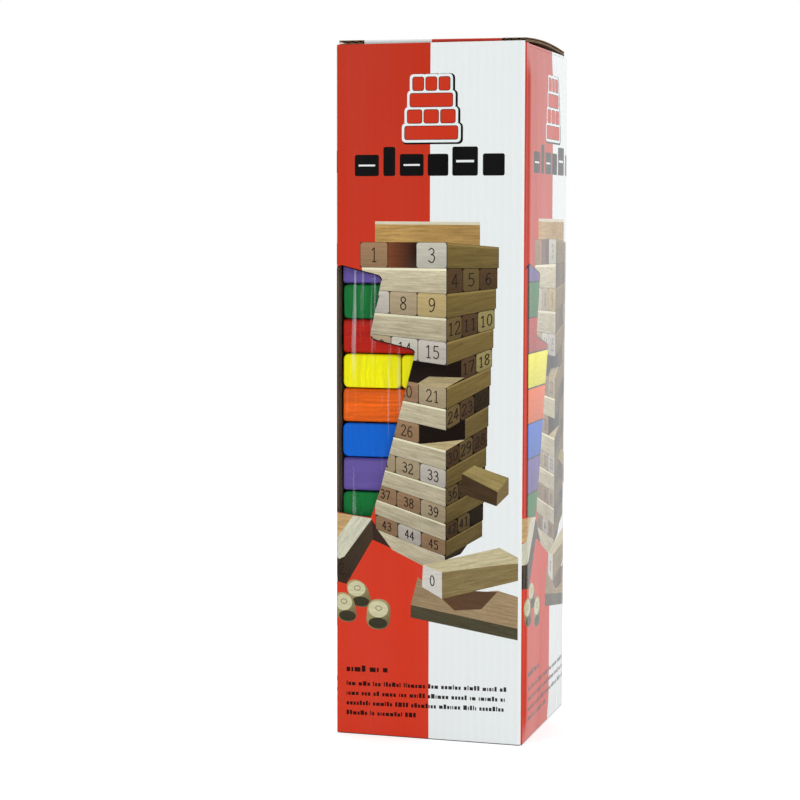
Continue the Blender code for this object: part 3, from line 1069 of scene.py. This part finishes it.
def make_tuck_flap(materials):
    lean = math.radians(8)
    inwards = Vector((0, math.sin(lean), -math.cos(lean)))
    outside = Vector((0, -math.cos(lean), -math.sin(lean)))
    flat_place = flap_place(Vector((0, TUCK_AXIS.y, TUCK_AXIS.z)), Vector((1, 0, 0)), inwards, outside)

    def place(a, b, inset):
        x, y, z = flat_place(a, b, inset)
        return (x, y, z + tilt(x))

    slit, length, tip_radius, half = 1.3, 16.0, 9, TUCK_HALF
    back = -KNUCKLE * math.pi * 0.9
    outline = rounded(((FOLD_LEFT, back, 0), (FOLD_RIGHT, back, 0), (FOLD_RIGHT, slit, 0), (half, slit, 0),
                       (half, length, tip_radius), (-half, length, tip_radius),
                       (-half, slit, 0), (FOLD_LEFT, slit, 0)), 8)
    bends = level_lines(half + 1, fold_bends(back))
    make_board("tuck_flap_board", outline, place, halves(half, back, length, INK_WHITE, INK_RED), bends,
               (-half, half), materials, "tuck_flap", "lid_tuck_flap")


def make_dust_flap(hand, side, materials):
    """side is -1 on the left and 1 on the right. a runs along Y."""
    axis = Vector((side * DUST_AXIS.x, 0, DUST_AXIS.z))
    place = flap_place(axis, Vector((0, 1, 0)), Vector((-side, 0, 0)), Vector((0, 0, 1)))
    length, rear_taper, front_taper = 30.0, 8.5, 4
    front, rear = DUST_LOW.y, DUST_HIGH.y
    back = -KNUCKLE * math.pi * 0.75
    outline = [(front, back), (rear, back), (rear, 0),
               (rear - rear_taper, length), (front + front_taper, length), (front, length / 3)]
    split = COLOUR_SPLIT * SIDE_ART[0] + SIDE_ART[1]
    inks = (INK_RED, INK_WHITE) if side > 0 else (INK_WHITE, INK_RED)
    make_board(hand + "_dust_flap_board", outline, place, halves(HALF, back, length, *inks, side * split),
               level_lines(HALF, fold_bends(back)), (front, rear), materials,
               hand + "_dust_flap", "dust_flap_" + hand)


# ---------------- blocks, film and die


EDGE_RADII, END_RADII = (1.8, 2.3), (0.9, 1.2)  # least and most, along a block and round its ends
SAW_WOBBLE = 0.12  # how far a block's corners are out of true
DIE_EDGE, DIE_END, DIE_SPOT, DIE_PAINT = 2.6, 2.4, 4.6, 0.12  # radii of edges and spots, the paint's depth


def rounded_box(half, radius, end_radius, segments, wobble, pick):
    """A box with round edges, rounder along X, very slightly out of true, as sawn and sanded wood is."""
    bm = bmesh.new()
    bmesh.ops.create_cube(bm, size=2)
    for vert in bm.verts:
        vert.co = Vector(c * h for c, h in zip(vert.co, half))
        vert.co -= Vector(math.copysign(pick.uniform(0, wobble), c) for c in vert.co)
    long_edges = [e for e in bm.edges if abs((e.verts[0].co - e.verts[1].co).normalized().x) > 0.9]
    bmesh.ops.bevel(bm, geom=long_edges, offset=radius, segments=segments, profile=0.5, affect="EDGES")
    end_edges = [e for e in bm.edges if any(len(f.verts) > 4 for f in e.link_faces)]
    bmesh.ops.bevel(bm, geom=end_edges, offset=end_radius, segments=segments - 1, profile=0.5, affect="EDGES")
    return bm


def grain_uv(bm, offset):
    """Grain runs along X on every side, and across the ends it shows as short strokes."""
    uv = bm.loops.layers.uv.new("grain")
    for face in bm.faces:
        normal = [abs(c) for c in face.normal]
        for loop in face.loops:
            x, y, z = loop.vert.co
            if normal[0] > 0.7:
                place = (z * 1.6, y)
            elif normal[1] > normal[2]:
                place = (x, z + offset[1])
            else:
                place = (x, y + offset[0])
            loop[uv].uv = (place[0] + offset[0], place[1] + offset[1])


SHIFT_PICK = random.Random(5)
LAYER_SHIFTS = [
    Vector((SHIFT_PICK.uniform(-0.1, 0.3), SHIFT_PICK.uniform(-0.1, 0.25), 0)) for _ in range(LAYERS)]
LAYER_SHIFTS[12].x = 0.42  # one layer stands out a little more


def make_blocks(paints):
    """Each block stands for its CAD node. The layers are a few tenths of a millimetre out of line."""
    pick = random.Random(18)
    for node in sorted(name for name in frame["nodes"] if name.startswith("block_")):
        _, number, colour = node.split("_")
        low, high = node_box(node)
        size = (high - low) / 2 * MM
        runs_along_x = size.x > size.y
        half = size if runs_along_x else Vector((size.y, size.x, size.z))
        radius, end_radius = pick.uniform(*EDGE_RADII) * MM, pick.uniform(*END_RADII) * MM
        bm = rounded_box(half, radius, end_radius, 4, SAW_WOBBLE * MM, pick)
        grain_uv(bm, (pick.uniform(0, 2), pick.uniform(0, 2)))
        block = add_object(node + "_wood", bm, [paints[colour]], ALL_SMOOTH)
        block.location = ((low + high) / 2 + LAYER_SHIFTS[(int(number) - 1) // 3]) * MM
        block.rotation_euler.z = 0 if runs_along_x else math.pi / 2
        settle(block, "block_stack", node)


def make_die(wood, paints):
    """Rounded wooden die with one painted disc of each block colour."""
    low, high = node_box("colour_die")
    middle, half = (low + high) / 2 * MM, (high - low) / 2 * MM
    bm = rounded_box(half, DIE_EDGE * MM, DIE_END * MM, 5, 0, random.Random(0))
    bmesh.ops.recalc_face_normals(bm, faces=bm.faces)
    for vert in bm.verts:
        vert.co += middle
    settle(add_object("colour_die_wood", bm, [wood], ALL_SMOOTH), "block_stack", "colour_die")
    radius, thickness = DIE_SPOT * MM, DIE_PAINT * MM
    directions = ((0, 0, 1), (0, 0, -1), (0, -1, 0), (0, 1, 0), (1, 0, 0), (-1, 0, 0))
    for (name, paint), direction in zip(paints.items(), directions):
        disc = bmesh.new()
        bmesh.ops.create_cone(disc, cap_ends=True, segments=40, radius1=radius, radius2=radius,
                              depth=thickness)
        uv = disc.loops.layers.uv.new("grain")
        for face in disc.faces:
            for loop in face.loops:
                loop[uv].uv = loop.vert.co.xy
        turn = Vector((0, 0, 1)).rotation_difference(Vector(direction)).to_matrix().to_4x4()
        bmesh.ops.transform(disc, matrix=turn, verts=disc.verts)
        bmesh.ops.translate(disc, vec=middle + Vector(direction) * half.x, verts=disc.verts)
        settle(add_object("die_spot_" + name, disc, [paint]), "block_stack")


def make_film(material):
    """The film hugs the stack as one closed skin with round corners. Its material has the tension lines and
    painted glints.
    """
    low, high = node_box("block_01_green")[0], node_box("block_54_red")[1]
    side_gap, top_gap, bottom_gap = 0.48, 0.12, 0.1
    reach = max(abs(low.y), high.x) + side_gap
    top, bottom = high.z + top_gap, low.z - bottom_gap
    radius, steps, levels = 1.1, 14, 60
    flat = reach - radius
    ring = []
    for corner, (x_side, y_side) in enumerate(((1, 1), (-1, 1), (-1, -1), (1, -1))):
        centre = Vector((flat * x_side, flat * y_side))
        for step in range(steps + 1):
            turn = math.pi / 2 * (corner + step / steps)
            ring.append(centre + Vector((math.cos(turn), math.sin(turn))) * radius)
    bm = bmesh.new()
    rows = []
    for level in range(levels + 1):
        z = bottom + (top - bottom) * level / levels
        rows.append([bm.verts.new(Vector((*p, z)) * MM) for p in ring])
    for lower, upper in zip(rows, rows[1:]):
        for i in range(len(ring)):
            j = (i + 1) % len(ring)
            bm.faces.new((lower[i], lower[j], upper[j], upper[i]))
    bm.faces.new(list(reversed(rows[0])))
    bm.faces.new(rows[-1])
    bmesh.ops.recalc_face_normals(bm, faces=bm.faces)
    film = add_object("shrink_film", bm, [material], 40)
    film.visible_shadow = False
    settle(film, "block_stack")


# ---------------- studio


def make_camera():
    """The viewpoint: to the right of the front, at three quarters of the height, looking slightly down."""
    azimuth, pitch, roll = (math.radians(v) for v in (-16.57, -4.76, 0.11))
    place = Vector((0.2314, -0.8577, 0.2105))
    level = math.cos(pitch)
    forward = Vector((math.sin(azimuth) * level, math.cos(azimuth) * level, math.sin(pitch)))
    right = Vector((math.cos(azimuth), -math.sin(azimuth), 0))
    up = right.cross(forward)
    right, up = right * math.cos(roll) + up * math.sin(roll), up * math.cos(roll) - right * math.sin(roll)
    data = bpy.data.cameras.new("camera")
    data.lens, data.sensor_width, data.clip_start = 94.8, 36, 0.05
    camera = linked("camera", data)
    camera.matrix_world = Matrix.Translation(place) @ Matrix((right, up, -forward)).transposed().to_4x4()
    bpy.context.scene.camera = camera


def area_light(name, place, target, size, power, shine):
    """A square light at place that faces target. shine is how much it shows in gloss."""
    data = bpy.data.lights.new(name, "AREA")
    data.shape = "RECTANGLE"
    data.size = data.size_y = size
    data.energy = power
    data.specular_factor = shine
    light = linked(name, data)
    light.location = place
    light.rotation_euler = (Vector(target) - Vector(place)).to_track_quat("-Z", "Y").to_euler()


def make_surroundings():
    """White to the camera, a little less as light, and in gloss dark but for a pale wall at the back."""
    n = Nodes("studio", "worlds", "Background")
    split = n.add("ShaderNodeSeparateXYZ", {0: n.add("ShaderNodeTexCoord").outputs["Generated"]})
    wall = n.remap(split.outputs["Y"], 0.87, 0.95, 0.03, 0.9)
    below = n.remap(split.outputs["Z"], -0.22, -0.02, 0.78, 1.0)
    path = n.add("ShaderNodeLightPath")
    in_gloss = n.maths("MULTIPLY", wall, below)
    lit = n.add("ShaderNodeMix", {0: path.outputs["Is Glossy Ray"], 2: 0.64, 3: in_gloss})
    seen = n.add("ShaderNodeMix", {0: path.outputs["Is Camera Ray"], 2: lit, 3: 1.0})
    n.set(Color=(1, 1, 1, 1), Strength=seen)
    bpy.context.scene.world = n.owner


def make_studio():
    """White surroundings, a light from the front left, wide soft ones from the right and above, a floor."""
    make_surroundings()
    bpy.context.scene.view_settings.view_transform = "Standard"
    area_light("key", (-0.85, -1.35, 0.85), (0, 0, 0.14), size=0.35, power=4.4, shine=0.25)
    area_light("fill", (1.3, -0.1, 0.5), (0, 0, 0.14), size=0.9, power=4.5, shine=0.0)
    area_light("top", (0.1, 0.3, 1.2), (0, 0, 0.1), size=1.0, power=3.0, shine=1.0)
    bm = bmesh.new()
    bmesh.ops.create_grid(bm, x_segments=1, y_segments=1, size=6)
    floor = add_object("floor", bm, [floor_material()])
    floor.visible_glossy = False


# ---------------- the whole


def main():
    make_camera()
    make_studio()
    kraft = (kraft_material("kraft_liner", 0.55), kraft_material("kraft_cut_edge", 0.9))
    board_materials = (print_material(), *kraft)
    paints = {name: paint_material(name, colour) for name, colour in BLOCK_COLOURS.items()}
    make_carton(board_materials)
    make_lid(board_materials)
    make_tuck_flap(board_materials)
    make_dust_flap("left", -1, board_materials)
    make_dust_flap("right", 1, board_materials)
    make_blocks(paints)
    make_die(bare_wood_material(), paints)
    make_film(film_material())


main()
